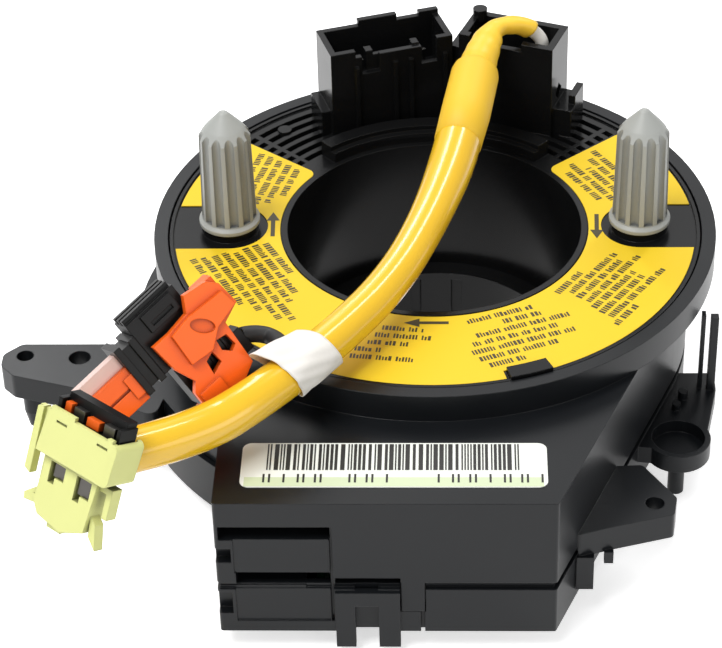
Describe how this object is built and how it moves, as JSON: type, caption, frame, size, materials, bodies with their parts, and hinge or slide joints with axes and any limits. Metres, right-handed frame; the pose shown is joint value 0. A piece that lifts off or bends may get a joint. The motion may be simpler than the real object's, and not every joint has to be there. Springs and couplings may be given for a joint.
{
  "type": "steering clock spring",
  "caption": "Steering clock spring: a turning ring with a yellow label, posts and sockets in a black case with an angle sensor, and airbag leads with two plugs.",
  "frame": {"origin": "where the rotor's axis crosses the plane on which the mounting ears seat", "axes": "+Z along the rotor's axis towards the steering wheel; -Y from the axis towards the sensor box"},
  "size_m": [0.1339, 0.1376, 0.0653],
  "materials": {
    "case_black": "satin",
    "rotor_black": "satin",
    "board_green": "satin",
    "chip_black": "satin",
    "pin_tin": "bright",
    "screw_steel": "satin",
    "glide_white": "satin",
    "label_white": "matte",
    "label_yellow": "satin",
    "flat_cable": "gloss",
    "post_grey": "matte",
    "gear_white": "satin",
    "magnet_grey": "satin",
    "wire_white": "satin",
    "tube_yellow": "gloss",
    "tape_white": "matte",
    "branch_black": "matte",
    "plug_black": "satin",
    "plug_lime": "satin",
    "plug_orange": "satin",
    "strip_pale": "satin"
  },
  "bodies": {
    "stator": {"upper_case": "case_black", "lower_case": "case_black", "circuit_board": "board_green", "sensor_chips": "chip_black", "header_pins": "pin_tin", "case_screws": "screw_steel", "glide_ring": "glide_white", "plate_label": "label_white"},
    "rotor": {"rotor": "rotor_black", "lower_rotor": "rotor_black", "flat_cable": "flat_cable", "face_label": "label_yellow", "left_post": "post_grey", "right_post": "post_grey", "pin_carrier": "rotor_black", "socket_pins": "pin_tin", "lead_wires": "wire_white", "lead_sleeve": "tube_yellow", "lead_tube": "tube_yellow", "tape_wrap": "tape_white", "branch_lead": "branch_black", "plug_a_body": "plug_black", "plug_a_terminals": "pin_tin", "plug_a_seals": "plug_orange", "plug_a_nose": "plug_lime", "plug_b_body": "plug_black", "plug_b_nose": "plug_orange", "plug_b_strip": "strip_pale"},
    "gear_a": {"sensor_gear_a": "gear_white", "magnet_a": "magnet_grey"},
    "gear_b": {"sensor_gear_b": "gear_white", "magnet_b": "magnet_grey"},
    "lock_a": {"plug_a_lock": "plug_lime"},
    "lock_b": {"plug_b_lock": "plug_orange"}
  },
  "joints": [
    {"name": "rotor_turn", "type": "hinge", "parent": "stator", "child": "rotor", "pos_m": [0, 0, 0], "axis": [0, 0, 1], "range_deg": [-900, 900]},
    {"name": "gear_a_turn", "type": "hinge", "parent": "stator", "child": "gear_a", "pos_m": [-0.01483, -0.04565, 0], "axis": [0, 0, 1], "range_deg": [-2700, 2700]},
    {"name": "gear_b_turn", "type": "hinge", "parent": "stator", "child": "gear_b", "pos_m": [0.01607, -0.04417, 0], "axis": [0, 0, 1], "range_deg": [-2946, 2946]},
    {"name": "lock_a_slide", "type": "slide", "parent": "rotor", "child": "lock_a", "axis": [0.2582, 0.3108, 0.9147], "range_m": [0, 0.0025]},
    {"name": "lock_b_slide", "type": "slide", "parent": "rotor", "child": "lock_b", "axis": [0.6931, 0.6131, 0.3791], "range_m": [0, 0.002]}
  ],
  "couplings": [
    {"joint": "gear_a_turn", "follows": "rotor_turn", "ratio": -3},
    {"joint": "gear_b_turn", "follows": "rotor_turn", "ratio": -3.2727}
  ]
}
